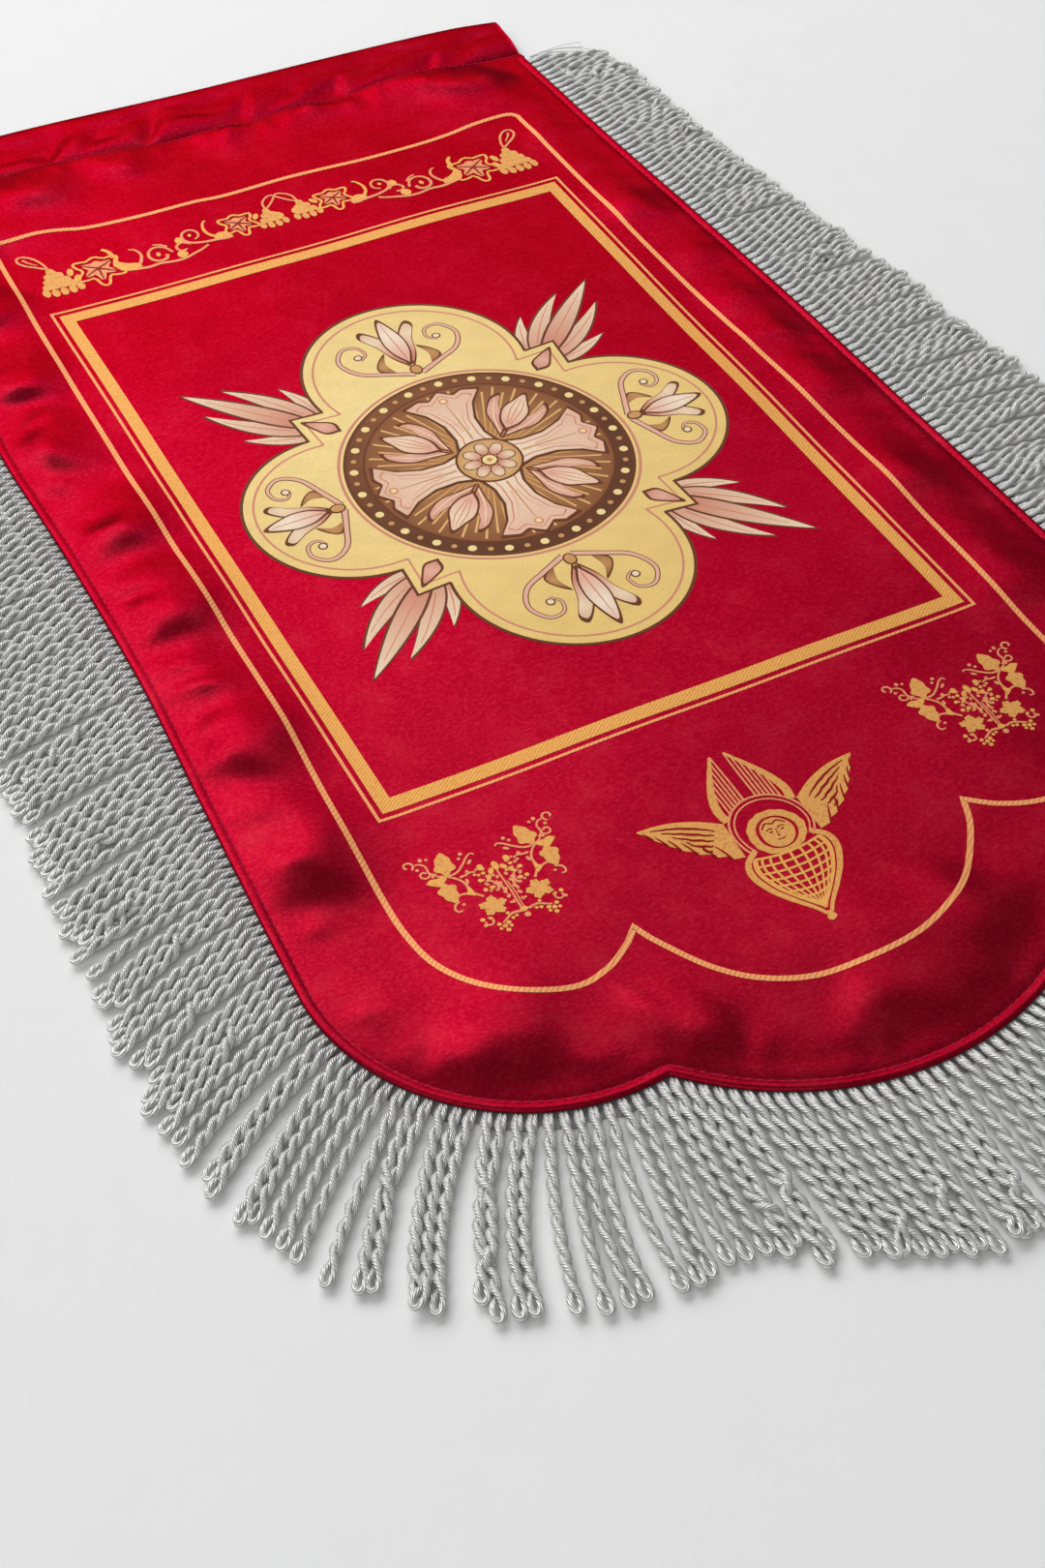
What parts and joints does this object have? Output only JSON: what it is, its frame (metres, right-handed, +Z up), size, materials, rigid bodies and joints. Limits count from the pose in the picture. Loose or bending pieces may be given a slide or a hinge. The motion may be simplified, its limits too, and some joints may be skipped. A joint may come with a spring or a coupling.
{
  "type": "church banner",
  "caption": "Red satin church banner with a rod sleeve, scalloped lower edge, gold borders and ornament, and a silver-grey bullion fringe, lying flat.",
  "frame": {"origin": "bottom centre of the bounding box: the middle of the lying banner, on the surface it lies on", "axes": "+Y along the banner's length, from the scalloped foot to the rod sleeve; +X across it, to the right as seen from the face; +Z up out of the printed face"},
  "size_m": [0.4166, 0.6312, 0.0084],
  "materials": {
    "red_satin": "satin weave, soft sheen",
    "silver_grey_cord": "twisted rayon cord, soft sheen"
  },
  "bodies": {
    "root": {"cloth": "red_satin", "heading": "red_satin", "fringe": "silver_grey_cord"}
  },
  "joints": []
}
